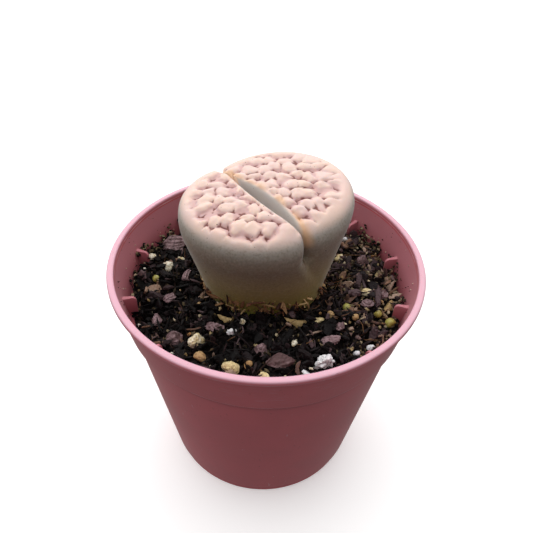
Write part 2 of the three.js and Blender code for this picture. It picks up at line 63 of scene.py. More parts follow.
def closed_net(rings, columns):
    """Faces of a closed surface: one vertex, then `rings` rings of `columns` vertices, then one vertex."""
    here = np.arange(columns)
    beside = (here + 1) % columns
    row = 1 + columns * np.arange(rings - 1)[:, None]
    quads = np.stack([row + here, row + beside, row + columns + beside, row + columns + here], -1)
    last = 1 + rings * columns
    start = np.stack([0 * here, beside + 1, here + 1], -1)
    end = np.stack([last + 0 * here, last - columns + here, last - columns + beside], -1)
    return quads.reshape(-1, 4), np.concatenate([start, end])


def closed_points(first, rings, last):
    """The vertices of such a surface in one list, from its first point, its rings and its last point."""
    return np.concatenate([np.reshape(first, (1, 3)), rings.reshape(-1, 3), np.reshape(last, (1, 3))])


def made_piece(name, points, nets, smooth=True, **marks):
    """An object from points in millimetres and nets of faces, turned the right way out, riding on the root.
    Each mark is a number for every vertex, kept with the mesh for its finish to read."""
    corner = [points[net[:, i]] for net in nets for i in (0, 1, 2)]
    volume = sum(np.einsum("ij,ij", corner[i], np.cross(corner[i + 1], corner[i + 2]))
                 for i in range(0, len(corner), 3))
    step = 1 if volume > 0 else -1
    mesh = bpy.data.meshes.new(name)
    mesh.from_pydata((points * MM).tolist(), [], [face[::step] for net in nets for face in net.tolist()])
    for mark, values in marks.items():
        mesh.attributes.new(mark, "FLOAT", "POINT").data.foreach_set("value", values.astype(np.float32))
    mesh.polygons.foreach_set("use_smooth", np.full(len(mesh.polygons), smooth))
    mesh.update()
    piece = bpy.data.objects.new(name, mesh)
    bpy.context.scene.collection.objects.link(piece)
    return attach(piece, "root")


class Wire:
    """One shader socket. Arithmetic on it adds Math nodes, and `node` adds a node of any other kind."""

    def __init__(self, tree, socket=None):
        self.tree = tree
        self.socket = socket

    def node(self, kind, settings=None, inputs=None, output=0):
        """A node of any kind: its settings first, among them a ramp's stops, then the values or links of its
        sockets."""
        made = self.tree.nodes.new(kind)
        for key, value in (settings or {}).items():
            if key == "stops":
                ramp = made.color_ramp.elements
                while len(ramp) < len(value):
                    ramp.new(1)
                for stop, (place, colour) in zip(ramp, value):
                    stop.position = place
                    stop.color = (*colour, 1)
            else:
                setattr(made, key, value)
        for key, value in (inputs or {}).items():
            if isinstance(value, Wire):
                self.tree.links.new(value.socket, made.inputs[key])
            elif made.inputs[key].type == "RGBA":
                made.inputs[key].default_value = (*value, 1)
            else:
                made.inputs[key].default_value = value
        return Wire(self.tree, made.outputs[output]) if made.outputs else None

    def math(self, operation, *values):
        """A Math node on wires or numbers."""
        return self.node("ShaderNodeMath", {"operation": operation}, dict(enumerate(values)))

    def __add__(self, other):
        return self.math("ADD", self, other)

    __radd__ = __add__

    def __sub__(self, other):
        return self.math("SUBTRACT", self, other)

    def __rsub__(self, other):
        return self.math("SUBTRACT", other, self)

    def __mul__(self, other):
        return self.math("MULTIPLY", self, other)

    __rmul__ = __mul__

    def rise(self, low, high):
        """0 below `low`, 1 above `high`, and eased between."""
        settings = {"interpolation_type": "SMOOTHSTEP"}
        return self.node("ShaderNodeMapRange", settings, {"Value": self, "From Min": low, "From Max": high})

    def mark(self, name):
        """A number kept with the mesh."""
        return self.node("ShaderNodeAttribute", {"attribute_name": name}, output="Fac")

    def place(self):
        """Where on the piece, in millimetres."""
        place = self.node("ShaderNodeTexCoord", output="Object")
        return self.node("ShaderNodeVectorMath", {"operation": "SCALE"}, {"Vector": place, "Scale": 1 / MM})

    def height(self, place):
        """How high a place is."""
        return self.node("ShaderNodeSeparateXYZ", inputs={0: place}, output="Z")

    def grain(self, place, size, detail=3, stretch=(1, 1, 1)):
        """Noise from 0 to 1 whose blotches are about `size` millimetres, stretched along the axes."""
        scale = [1 / (size * s) for s in stretch]
        moved = self.node("ShaderNodeVectorMath", {"operation": "MULTIPLY"}, {0: place, 1: scale})
        return self.node("ShaderNodeTexNoise", inputs={"Vector": moved, "Scale": 1.0, "Detail": detail})

    def blend(self, share, first, second):
        """The first colour, changed to the second by a share from 0 to 1."""
        return self.node("ShaderNodeMix", {"data_type": "RGBA"}, {0: share, 6: first, 7: second}, 2)

    def relief(self, height, depth, under=None):
        """The normal of a surface whose height of 0 to 1 stands for `depth` millimetres."""
        inputs = {"Height": height, "Strength": 1.0, "Distance": depth * MM}
        if under:
            inputs["Normal"] = under
        return self.node("ShaderNodeBump", inputs=inputs)


def new_finish(name):
    """An empty material, and the Wire that draws in it."""
    material = bpy.data.materials.new(name)
    material.use_nodes = True
    material.node_tree.nodes.clear()
    return material, Wire(material.node_tree)


def end_finish(paint, **inputs):
    """Ends a finish with its surface shader."""
    named = {key.replace("_", " "): value for key, value in inputs.items()}
    shader = paint.node("ShaderNodeBsdfPrincipled", inputs=named)
    paint.node("ShaderNodeOutputMaterial", inputs={"Surface": shader})


def lay_on(piece, material, paint, slot, **inputs):
    """Ends the finish, and gives it to the piece. The slot is not used."""
    end_finish(paint, **inputs)
    piece.data.materials.clear()
    piece.data.materials.append(material)
    return piece


def eased_corners(corners, steps=5):
    """A profile through [radius, height, rounding] corners, each rounded by a quadratic curve that starts and
    ends `rounding` away from it, or less where its neighbours are close."""
    spots = np.array(corners, float)
    line = [spots[0, :2]]
    for before, spot, after in zip(spots[:-2], spots[1:-1], spots[2:]):
        ends = []
        for other in (before, after):
            way = other[:2] - spot[:2]
            length = np.hypot(*way)
            ends.append(spot[:2] + way / length * min(spot[2], 0.45 * length))
        t = np.linspace(0, 1, steps if spot[2] > 0 else 1)[:, None]
        line.extend((1 - t) ** 2 * ends[0] + 2 * t * (1 - t) * spot[:2] + t**2 * ends[1])
    line.append(spots[-1, :2])
    return np.array(line)


def smooth_step(value, low, high):
    """0 below `low`, 1 above `high`, and eased between."""
    t = np.clip((value - low) / (high - low), 0, 1)
    return t * t * (3 - 2 * t)


pot_corner = np.array(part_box("pot")[1]) / MM
rim_radius, pot_height = pot_corner[0], pot_corner[2]
wall = 0.7
lip_depth = 1.0
collar_top = rim_radius - 0.62
collar_foot = 27.64
step_height = 40.0
step_radius = 27.0
base_radius = 21.0
foot_height = 1.8
foot_edge = base_radius - 0.45
floor_top = 2.0
wall_slope = (step_radius - base_radius) / (step_height - foot_height)
inner_step = step_radius - wall
inner_floor = base_radius - wall + wall_slope * (floor_top - foot_height)

outside = eased_corners([
    [0.8, 1.2, 0], [foot_edge - 1.5, 1.2, 0.3], [foot_edge - 1.1, 0, 0.1], [foot_edge - 0.08, 0, 0.08],
    [foot_edge, 0.3, 0.2], [base_radius - 0.3, foot_height, 0.2], [base_radius, foot_height, 0.2],
    [step_radius, step_height, 0.15], [collar_foot, step_height, 0.3],
    [collar_top, pot_height - lip_depth, 0.16], [rim_radius, pot_height - lip_depth, 0.26],
    [rim_radius, pot_height, 0.55], [rim_radius - 1.05, pot_height, 0.1],
    [rim_radius - 1.12, pot_height - 0.1, 0.06], [rim_radius - 1.2, pot_height - 0.02, 0.08],
    [collar_top - wall - 0.02, pot_height - 0.35, 0.25], [collar_top - wall - 0.06, pot_height - 1.2, 0.3],
], 6)
inner_corners = np.array([
    [inner_floor - 1.2, floor_top], [inner_floor - 0.3, floor_top + 0.3],
    [inner_floor + 0.15, floor_top + 1.2], [inner_step, step_height - 0.1],
    [inner_step + 0.2, step_height + 0.1],
    [collar_foot - wall, step_height + 0.4], [collar_top - wall - 0.06, pot_height - 1.2],
])

rib_count = 12
rib_first = np.radians(15)
rib_thickness = 0.62
rib_edge = 25.3
rib_top = 44.7
rib_corner = 1.0
fillet = 0.16

# Columns of vertices round the pot crowd at each fin.
beside_rib = np.array([0.9, 0.62, 0.47, 0.4, 0.35, 0.3, 0.24, 0.15])
near_rib = np.concatenate([-beside_rib, [0], beside_rib[::-1]])
half_bay = np.pi / rib_count
between_ribs = np.linspace(1.4, 2 * half_bay * rib_edge - 1.4, 14)
one_bay = np.concatenate([near_rib, between_ribs]) / rib_edge
pot_angles = (rib_first + 2 * half_bay * np.arange(rib_count)[:, None] + one_bay).ravel()
off_rib = np.abs((pot_angles - rib_first + half_bay) % (2 * half_bay) - half_bay) * rib_edge

inner_heights = np.concatenate([
    np.linspace(pot_height - 1.4, rib_top + 0.5, 6), rib_top + np.array([0.3, 0.15, 0.08, 0.02, -0.04]),
    rib_top - rib_corner * (1 - np.cos(np.linspace(0.2, np.pi / 2, 10))),
    np.linspace(rib_top - 1.6, step_height + 0.6, 5), step_height + np.array([0.4, 0.25, 0.1, 0, -0.1, -0.3]),
    np.linspace(step_height - 2, floor_top + 2.4, 14), floor_top + np.array([1.6, 1.2, 0.9, 0.5, 0.3, 0.12]),
])
floor_rings = (inner_floor - 1.2, 17, 15.5, 10.5, 8, 3, 0.8)


def pot_net():
    """The pot's vertices, its faces, and for each vertex 1 inside the pot and 0 outside. The rings follow the
    outside profile, then run down the inside, where the radius is drawn in to a fin's edge near each fin,
    and cross the floor."""
    around = heading_way(pot_angles)
    rows = [np.column_stack([radius * around, np.full(len(around), height)]) for radius, height in outside]
    plain = np.interp(inner_heights, inner_corners[:, 1], inner_corners[:, 0])
    depth = rib_top - inner_heights
    bend = 1 - np.clip(depth / rib_corner, 0, 1)
    edge = rib_edge + rib_corner * (1 - np.sqrt(1 - bend**2))
    reach = np.maximum(plain - edge, 0) * smooth_step(depth, -0.1, 0.06)
    across = 1 - smooth_step(off_rib, rib_thickness / 2 - fillet / 2, rib_thickness / 2 + fillet)
    radius = plain[:, None] - reach[:, None] * across
    inner = np.concatenate([radius[..., None] * around, np.broadcast_to(inner_heights[:, None, None],
                            (*radius.shape, 1))], -1)
    floor = [np.column_stack([radius * around, np.full(len(around), floor_top)]) for radius in floor_rings]
    rings = np.concatenate([np.array(rows), inner, np.array(floor)])
    inside = np.zeros(rings.shape[:2])
    inside[len(rows):] = 1
    points = closed_points((0, 0, 1.2), rings, (0, 0, floor_top))
    return points, closed_net(*rings.shape[:2]), np.concatenate([[0], inside.ravel(), [1]])


points, net, inside = pot_net()
pot = made_piece("nursery_pot", points, net, inside=inside)

drain_radius = 2.0
drain_circle = 13.0
drill_columns = 40
drill_ends = (-1.0, 4.0)
for i in range(7):
    spot = drain_circle * heading_way(np.pi / 3 * i) if i < 6 else (0, 0)
    edge = drain_radius * heading_way(full_turn(drill_columns)) + spot
    rings = np.array([np.column_stack([edge, np.full(drill_columns, end)]) for end in drill_ends])
    cutter = made_piece("drill", closed_points((*spot, drill_ends[0]), rings, (*spot, drill_ends[1])),
                        closed_net(2, drill_columns))
    cut = pot.modifiers.new("drain", "BOOLEAN")
    cut.object = cutter
    cut.solver = "EXACT"
    with bpy.context.temp_override(object=pot, active_object=pot):
        bpy.ops.object.modifier_apply(modifier=cut.name)
    bpy.data.objects.remove(cutter)
pot.data.polygons.foreach_set("use_smooth", np.full(len(pot.data.polygons), True))
pot.data.set_sharp_from_angle(angle=np.radians(40))

material, paint = new_finish("dusty rose plastic")
place = paint.place()
height = paint.height(place)
inside = paint.mark("inside")
cloudy = paint.grain(place, 9, 4)
fine = paint.grain(place, 0.35, 2)
colour = paint.blend(cloudy.rise(0.35, 0.7), (0.61, 0.122, 0.145), (0.66, 0.135, 0.16))
# Painted light: the inner wall gets a lighter, greyer copy of the plastic's pink.
colour = paint.blend(inside * 0.6, colour, (0.56, 0.27, 0.32))
# Painted shade: the inner wall darkens to a deep red low down, near the mix.
shade_near_mix = inside * (1 - height.rise(step_height + 1, step_height + 6))
colour = paint.blend(shade_near_mix * 0.6, colour, (0.25, 0.02, 0.03))
lip = height.rise(pot_height - lip_depth - 0.05, pot_height - lip_depth + 0.1)
# Painted highlight: the lip turns pale pink, most of all on its crown, where the sky shines on it.
lip_crown_highlight = height.rise(pot_height - 0.5, pot_height - 0.05)
colour = paint.blend(lip * 0.15 + lip_crown_highlight * 0.75, colour, (0.75, 0.45, 0.54))
# Blotches that vary the painted glints along the lip's lower edge and the step's edge, and the real rubbing
# on the collar.
wear_and_glint = paint.grain(place, 4, 3).rise(0.4, 0.65)
# Painted highlight: a pale glint along the lip's lower outer edge.
lip_edge_glint = lip * (1 - height.rise(pot_height - lip_depth + 0.12, pot_height - lip_depth + 0.22))
colour = paint.blend(lip_edge_glint * (0.25 + 0.6 * wear_and_glint), colour, (0.9, 0.66, 0.7))
over_step = height.rise(step_height, step_height + 0.1)
below_step = 1 - height.rise(step_height - 0.1, step_height)
# Painted shade: darker in a band just below the collar's step, on the outside.
under_step_shade = height.rise(step_height - 2.1, step_height - 1.0) * below_step * (1 - inside)
colour = paint.blend(under_step_shade * 0.22, colour, (0.1, 0.02, 0.025))
# Painted highlight: a pale line where the edge of the step catches the light.
step_edge_glint = over_step * (1 - height.rise(step_height + 0.25, step_height + 0.4)) * (1 - inside)
colour = paint.blend(step_edge_glint * (0.1 + 0.5 * wear_and_glint), colour, (0.8, 0.45, 0.5))
rubbed = paint.grain(place, 1.4, 3, (3, 3, 0.12)).rise(0.5, 0.75) * wear_and_glint
rubbed = rubbed * height.rise(step_height, step_height + 2) * (1 - inside)
colour = paint.blend(rubbed * (1 - lip) * 0.3, colour, (0.66, 0.4, 0.44))
speck = paint.grain(place, 0.55, 1).rise(0.70, 0.73) * paint.grain(place, 7, 2).rise(0.5, 0.62)
colour = paint.blend(speck * (0.3 + 0.6 * inside), colour, (0.06, 0.035, 0.03))
scratch = paint.grain(place, 0.5, 2, (1, 1, 9)).rise(0.68, 0.72) * paint.grain(place, 6, 2).rise(0.55, 0.65)
colour = paint.blend(scratch * (1 - inside) * 0.3, colour, (0.75, 0.6, 0.62))
rough = 0.36 + 0.16 * cloudy - 0.1 * lip
lay_on(pot, material, paint, "pot_plastic", Base_Color=colour, Roughness=rough,
       Normal=paint.relief(fine, 0.012), Subsurface_Weight=0.12, Subsurface_Radius=(0.003, 0.0012, 0.0012),
       IOR=1.5, Specular_IOR_Level=0.3, Sheen_Weight=0.12, Sheen_Roughness=0.3)
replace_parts(pot, "pot")

# ---- Leaf pair ----
# Two fleshy leaves fused into one turnip-shaped body, parted on top by a deep fissure. The flat faces are
# wrinkled like a brain in cream, with mauve creases that are partly pigment and partly painted shade; the
# waxy flanks fade from grey to olive at the soil, with painted shade under the shoulder and in the slit at
# the fissure's ends.

fissure_angle = np.radians(-50)
along = np.array([np.cos(fissure_angle), np.sin(fissure_angle)])
across = np.array([-along[1], along[0]])
fissure_middle = np.array([-0.6, 1.6])
fissure_gape = 2.8
fissure_half_length = 11.2
fissure_floor = 55.3
leaf_top = 62.68
leaf_dome = 1.75
shoulder = 4.4
front_shoulder_extra = 2.2
lip_rounding = 1.3
seam_rounding = 0.5
front_rounding = 3.5
small_leaf = {"side": -1, "along": -1.75, "across": -2.15, "length": 15.9, "depth": 14.85,
              "squareness": 1.9, "tilt": 0.03, "back_rounding": 4.5}
large_leaf = {"side": 1, "along": -2.05, "across": 4.1, "length": 15.7, "depth": 16.5,
              "squareness": 2.0, "tilt": 0.084, "back_rounding": 8.0}
flare_power = 1.06
side_lean = 0.9
closed_gape = 0.04
fissure_fade = 0.8
neck_level = 42.0
neck_middle = np.array([-0.5, 2.3])
neck_width = 11.6
neck_depth = 9.2
neck_squareness = 2.4
buried_depth = 9.0
heart = np.array([*fissure_middle, 50.0])


def soft_max(a, b, reach):
    """The larger of two values, eased together by a parabola where they are within `reach` of each other."""
    near = np.maximum(reach - np.abs(a - b), 0) / reach
    return np.maximum(a, b) + near * near * reach / 4


def oval_radius(u, v, a, b, squareness=2.0):
    """Radius, in the direction (u, v), of the oval |u/a|^n + |v/b|^n = 1."""
    reach = np.abs(u / a) ** squareness + np.abs(v / b) ** squareness
    return np.hypot(u, v) / np.maximum(reach, 1e-12) ** (1 / squareness)


def past_side_and_face(leaf, p):
    """How far points are past a leaf's side and past its face, and how far out they lie on the face, 1 at
    its edge. The side flares from the oval waist to the oval face. The face falls from its middle as a
    parabola."""
    rise = (p[..., 2] - neck_level) / (leaf_top - neck_level)
    flare = np.maximum(rise, 0) ** flare_power
    face_middle = fissure_middle + leaf["along"] * along + leaf["across"] * across
    out = p[..., :2] - (neck_middle + flare[..., None] * (face_middle - neck_middle))
    distance = np.maximum(np.hypot(out[..., 0], out[..., 1]), 1e-6)
    u, v = out @ along, out @ across
    face_radius = oval_radius(u, v, leaf["length"], leaf["depth"], leaf["squareness"])
    neck_radius = oval_radius(out[..., 0], out[..., 1], neck_width, neck_depth, neck_squareness)
    sunk = np.maximum(neck_level - p[..., 2], 0) / buried_depth
    radius = (neck_radius + flare * (face_radius - neck_radius)) * np.sqrt(np.maximum(1 - sunk**2, 0))
    past_side = side_lean * (distance - radius) + np.maximum(sunk - 1, 0) * buried_depth
    face_height = leaf_top - leaf_dome * (distance / face_radius) ** 2 + leaf["tilt"] * v
    return past_side, p[..., 2] - face_height, distance / face_radius


def half_gap(p):
    """Half the fissure's width: widest at the top of its middle, closing to its ends and its floor."""
    s = (p[..., :2] - fissure_middle) @ along
    lift = p[..., 2] - fissure_floor
    gape = np.maximum(1 - (s / fissure_half_length) ** 2, closed_gape)
    opening = fissure_gape / 2 * lift * gape / (leaf_top - fissure_floor)
    return np.where(lift < 0, fissure_fade * lift, opening)


def past_leaf(leaf, p, parted):
    """How far points are outside one leaf: the eased largest of past its face, side and fissure wall."""
    past_side, past_face, _ = past_side_and_face(leaf, p)
    at_front = smooth_step(-p[..., 1], -6, 10)
    body = soft_max(past_face, past_side, shoulder + front_shoulder_extra * at_front)
    if not parted:
        return body
    past_wall = half_gap(p) - leaf["side"] * ((p[..., :2] - fissure_middle) @ across)
    towards_side = np.clip((past_side - past_face + 2) / 6, 0, 1)
    front_end = smooth_step((p[..., :2] - fissure_middle) @ along, -4, 4)
    end_rounding = leaf["back_rounding"] + front_end * (front_rounding - leaf["back_rounding"])
    return soft_max(body, past_wall, lip_rounding + towards_side * (end_rounding - lip_rounding))


def past_pair(p, parted=True):
    """How far points are outside the pair: the eased smaller of past the one leaf and past the other."""
    return -soft_max(-past_leaf(small_leaf, p, parted), -past_leaf(large_leaf, p, parted), seam_rounding)


def skin_point(rays, parted=True):
    """Where rays from the heart leave the body: half-millimetre steps out, then halvings of the last step."""
    far = np.full(rays.shape[:-1], 0.5)
    for _ in range(60):
        far = np.where(past_pair(heart + far[..., None] * rays, parted) < 0, far + 0.5, far)
    near = far - 0.5
    for _ in range(12):
        half = (near + far) / 2
        within = past_pair(heart + half[..., None] * rays, parted) < 0
        near, far = np.where(within, half, near), np.where(within, far, half)
    return heart + far[..., None] * rays


def ray(turn, tilt):
    """Directions from the heart: `turn` goes round in the fissure's plane, `tilt` leans out of it."""
    level = np.cos(tilt) * np.cos(turn)
    flat = level[..., None] * along + np.sin(tilt)[..., None] * across
    return np.concatenate([flat, (np.cos(tilt) * np.sin(turn))[..., None]], -1)


leaf_columns = 300
leaf_rings = 319
turns = np.interp(np.arange(leaf_columns) / leaf_columns, [0, 0.07, 0.17, 0.83, 0.93, 1],
                  np.radians([-90, -45, 22, 158, 225, 270]))
share = np.linspace(-1, 1, leaf_rings + 2)[1:-1]
ridge = skin_point(ray(turns, 0 * turns), parted=False)
lip_angle = np.arctan2(np.maximum(half_gap(ridge), 0.1) + 0.2, np.linalg.norm(ridge - heart, axis=-1))
fissure_share = 0.16
face_share = 0.78
face_tilt = np.radians(58)
tilt_stops = [0, fissure_share, face_share, 1]
tilts = np.stack([np.interp(np.abs(share), tilt_stops, [0, lip, face_tilt, np.pi / 2])
                  for lip in lip_angle], -1) * np.sign(share)[:, None]
skin = skin_point(ray(np.broadcast_to(turns, tilts.shape), tilts))
poles = skin_point(ray(np.zeros(2), np.array([-np.pi / 2, np.pi / 2])))


def waves(x, y, size, seed, count=8):
    """Smooth noise of about -1 to 1: a sum of plane sine waves about `size` long, in seeded directions."""
    random = np.random.default_rng(seed)
    heading = random.uniform(0, 2 * np.pi, count)
    pace = 2 * np.pi / (size * random.uniform(0.7, 1.5, count))
    phase = random.uniform(0, 2 * np.pi, count)
    total = sum(np.sin(k * (x * np.cos(h) + y * np.sin(h)) + f) for h, k, f in zip(heading, pace, phase))
    return total / np.sqrt(count)


def bumps(x, y, seed, spacing=2.65, sharpness=5.5):
    """Low pillows round jittered centres: each falls from 1 by the square of the distance, and where they
    meet the highest wins, eased by the logarithm of a sum of exponentials. Returns that height, and a mark
    of 0 to 1 on short forked lines where three meet."""
    random = np.random.default_rng(seed)
    size = 32
    jitter = random.uniform(-0.27, 0.27, (size, size, 2))
    breadth = spacing * random.uniform(0.58, 0.72, (size, size))
    x, y = (value + 0.35 * waves(x, y, 5, seed + n) + 0.13 * waves(x, y, 1.7, seed + 3 + n)
            for n, value in enumerate((x, y), 1))
    column, row = np.floor(x / spacing).astype(int), np.floor(y / spacing).astype(int)
    domes = []
    for dx in (-2, -1, 0, 1, 2):
        for dy in (-2, -1, 0, 1, 2):
            i, j = (column + dx) % size, (row + dy) % size
            centre_x = (column + dx + 0.5 + 0.5 * ((row + dy) % 2) + jitter[i, j, 0]) * spacing
            centre_y = (row + dy + 0.5 + jitter[i, j, 1]) * spacing
            domes.append(1 - ((x - centre_x) ** 2 + (y - centre_y) ** 2) / breadth[i, j] ** 2)
    domes = np.sort(domes, axis=0)[::-1][:4]
    height = np.log(np.exp(sharpness * domes).sum(0)) / sharpness - 0.05
    reach = domes[0] - domes[2] + 0.35 * waves(x, y, 2.2, seed + 9)
    fork = np.exp(-((domes[0] - domes[1]) / 0.34) ** 2) * (1 - smooth_step(reach, 0.35, 1.25))
    return height, fork * (1 - 0.6 * smooth_step(domes[0], 0.35, 0.75))


offset = (skin[..., :2] - fissure_middle) @ across
side = np.sign(offset)
measures = [np.where(side < 0, a, b) for a, b in
            zip(past_side_and_face(small_leaf, skin), past_side_and_face(large_leaf, skin))]
past_face, out_on_face = measures[1:]
from_lip = np.abs(offset) - np.maximum(half_gap(skin), 0)
edge_wander = 0.035 * waves(skin[..., 0], skin[..., 1], 6, 11)
on_top = smooth_step(past_face, -3.2, -1.3) * smooth_step(skin[..., 2], 56, 57)
on_face = (1 - smooth_step(out_on_face + edge_wander, 0.66, 0.8)) * smooth_step(from_lip, 0.15, 0.7)
on_face = on_face * on_top
middle = np.where(side[..., None] < 0, *(fissure_middle + leaf["along"] * along + leaf["across"] * across
                                         for leaf in (small_leaf, large_leaf)))
drawn_out = (1 - 0.07 * smooth_step(out_on_face, 0.45, 0.85))[..., None]
from_edge = (0.7 * side * np.exp(-np.maximum(from_lip, 0) / 1.6))[..., None]
spread = middle + (skin[..., :2] - middle) * drawn_out + from_edge * across
bump, crease = bumps(*np.moveaxis(spread, -1, 0), 5)
valley = 1 - smooth_step(bump, 0.2, 0.8)
bump_height = 0.74
crease_depth = 0.24
swell = on_face * (bump_height * (np.clip(bump, 0, 1) - 0.84) - crease_depth * crease)

turn_way = np.roll(skin, -1, 1) - np.roll(skin, 1, 1)
tilt_way = np.gradient(skin, axis=0)
normal = np.cross(turn_way, tilt_way)
normal /= np.maximum(np.linalg.norm(normal, axis=-1, keepdims=True), 1e-9)
outwards = np.sign(np.einsum("ijk,ijk->ij", normal, skin - heart))[..., None]
skin = skin + swell[..., None] * normal * outwards

along_fissure = (skin[..., :2] - fissure_middle) @ along
at_end = smooth_step(np.abs(along_fissure), 9.0, 11.0)
in_cleft = (1 - smooth_step(from_lip, 0.1, 0.5)) * (np.abs(offset) < 3) * smooth_step(skin[..., 2], 52, 54)
# Painted shade: a mark for the narrow slit where the leaves meet at the fissure's ends.
seam = (1 - smooth_step(np.abs(offset), 0.1, 0.45)) * at_end * smooth_step(skin[..., 2], 52.5, 55.5)
in_cleft = in_cleft * (1 - at_end)
tanned = np.exp(-(from_lip / 1.5) ** 2) * smooth_step(skin[..., 2], 56, 59)
tanned = tanned * np.where(side > 0, 1, 0.25) * (0.75 + 0.35 * waves(skin[..., 0], skin[..., 1], 4, 21))
front_patch = np.exp(-((along_fissure - 10.0) ** 2 / 4 + (offset - 0.6) ** 2 / 2)) * (side > 0)
tanned = tanned + 0.3 * front_patch * smooth_step(skin[..., 2], 55.5, 59)


def with_poles(grid):
    """A number for every vertex of the closed surface, each pole given the mean of the ring next to it."""
    return np.concatenate([[grid[0].mean()], grid.ravel(), [grid[-1].mean()]])


leaves = made_piece(
    "lithops_leaf_pair", closed_points(poles[0], skin, poles[1]), closed_net(leaf_rings, leaf_columns),
    face=with_poles(smooth_step(past_face, -2.0, -0.3)), valley=with_poles(valley * on_face),
    crease=with_poles(crease * on_face), cleft=with_poles(in_cleft), tanned=with_poles(tanned),
    seam=with_poles(seam))

material, paint = new_finish("lithops skin")
place = paint.place()
height = paint.height(place)
mottled = paint.grain(place, 1.6, 4)
speckled = paint.grain(place, 0.4, 2)
flank_foot = 42.8
flank_height = 18
# Flank colour by height, from yellow-olive at the foot to grey at the top; the darker band just under the
# shoulder, at stops 0.7 and 0.88, is painted shade.
flank = paint.node("ShaderNodeValToRGB", {"stops": [
    (0.0, (0.31, 0.28, 0.035)), (0.16, (0.28, 0.24, 0.045)), (0.42, (0.30, 0.25, 0.105)),
    (0.7, (0.222, 0.183, 0.122)), (0.88, (0.235, 0.2, 0.16)), (1.0, (0.38, 0.34, 0.30))]},
    {"Fac": (height + 1.6 * mottled - flank_foot) * (1 / flank_height)})
flank = paint.blend(speckled.rise(0.45, 0.75) * 0.4, flank, (0.14, 0.12, 0.07))
flank = paint.blend((1 - speckled).rise(0.5, 0.8) * 0.3, flank, (0.42, 0.38, 0.28))
blushed = paint.grain(place, 5, 3)
face = paint.blend(blushed.rise(0.35, 0.65), (0.81, 0.59, 0.50), (0.78, 0.565, 0.51))
# The mauve in the valleys between the pillows and the near black in the creases are partly the skin's own
# pigment and partly painted shade.
face = paint.blend(paint.mark("valley").rise(0.2, 1.0) * 0.7, face, (0.58, 0.34, 0.34))
face = paint.blend(paint.mark("crease").rise(0.05, 0.85) * 0.95, face, (0.23, 0.08, 0.065))
colour = paint.blend(paint.mark("face"), flank, face)
colour = paint.blend(paint.mark("tanned").rise(0.1, 0.9) * 0.75, colour, (0.76, 0.46, 0.25))
colour = paint.blend(paint.mark("cleft"), colour, (0.56, 0.5, 0.465))
# Painted shade: near black in the narrow slit where the leaves meet at the fissure's ends.
colour = paint.blend(paint.mark("seam") * 0.85, colour, (0.12, 0.06, 0.035))
dots = paint.grain(place, 0.45, 0).rise(0.83, 0.85)
colour = paint.blend(dots * 0.7, colour, (0.12, 0.06, 0.04))
pores = paint.relief(paint.grain(place, 0.18, 2), 0.012)
pores = paint.relief(mottled, 0.05, pores)
lay_on(leaves, material, paint, "leaf_skin", Base_Color=colour, Roughness=0.5 + 0.1 * speckled,
       Normal=pores, Subsurface_Weight=0.35, Subsurface_Radius=(0.0009, 0.0006, 0.0004), IOR=1.42,
       Sheen_Weight=0.3, Sheen_Roughness=0.35)
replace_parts(leaves, "leaf_pair")

# ---- Potting mix ----
# Damp peat and bark fines that fill the pot to just past its stacking step. The bulk is one dark crumbly
# mass with a socket for the plant; its surface is a litter of loose flakes, crumbs and fibres.

soil_level = 41.8


def soil_height(x, y):
    """Crossing waves round the soil level, a hollow by the wall on the left and a bank behind the plant."""
    height = soil_level + 0.35 * np.sin(0.31 * x + 1.1) * np.cos(0.27 * y)
    height = height + 0.25 * np.sin(0.52 * y - 0.4 * x)
    height = height - 1.6 * np.exp(-((x + 22) ** 2 + (y + 8) ** 2) / 40)
    return height + 0.9 * np.exp(-((x - 2) ** 2 + (y - 25) ** 2) / 160)


def ground(x, y):
    """The bulk's crumbly surface, a little under the soil's height: waves of five sizes from 6 mm down."""
    lumps = sum(0.6**n * waves(x, y, 6.0 * 0.55**n, 40 + n) for n in range(5))
    return soil_height(x, y) + 0.55 * lumps - 0.7


def wall_inside(height):
    """Radius of the pot's inner wall at a height."""
    return np.interp(height, inner_corners[:, 1], inner_corners[:, 0])


soil_columns = 288
soil_way = heading_way(full_turn(soil_columns))
waist_radius = oval_radius(*soil_way.T, neck_width, neck_depth, neck_squareness)
neck = neck_middle + (waist_radius + 0.15)[:, None] * soil_way
soil_foot = floor_top + 0.3
soil_profile = ((8, soil_foot), (18, soil_foot), (19, soil_foot + 0.1), (19.8, 3.6), (22.4, 20), (25.2, 36),
                (25.5, 38))
soil_rings = [np.column_stack([radius * soil_way, np.full(soil_columns, height)])
              for radius, height in soil_profile]
brink_radius = 26.3
least_beside_plant = 40.6
brink = ground(*(brink_radius * soil_way).T)
brink_way = (wall_inside(brink) - 0.25)[:, None] * soil_way
for inward in np.linspace(0, 1, 90):
    flat = (1 - inward) * brink_way + inward * neck
    level = np.maximum(ground(*flat.T), least_beside_plant * (inward > 0.97))
    soil_rings.append(np.column_stack([flat, brink if inward == 0 else level]))
for depth in np.linspace(0.15, 0.98, 9):
    flat = neck_middle + (neck - neck_middle) * np.sqrt(1 - depth**2)
    level = neck_level - 0.3 - depth * buried_depth
    soil_rings.append(np.column_stack([flat, np.full(soil_columns, level)]))
soil_rings = np.array(soil_rings)
soil = made_piece("potting_mix", closed_points((0, 0, soil_foot), soil_rings, (*neck_middle, 32.6)),
                  closed_net(len(soil_rings), soil_columns))

material, paint = new_finish("damp peat")
place = paint.place()
lumpy = paint.grain(place, 0.8, 4)
colour = paint.blend(lumpy.rise(0.4, 0.75), (0.003, 0.002, 0.002), (0.014, 0.009, 0.008))
lay_on(soil, material, paint, "potting_mix", Base_Color=colour, Roughness=0.75 + 0.2 * lumpy,
       Normal=paint.relief(lumpy, 0.4), Specular_IOR_Level=0.1)
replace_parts(soil, "soil")


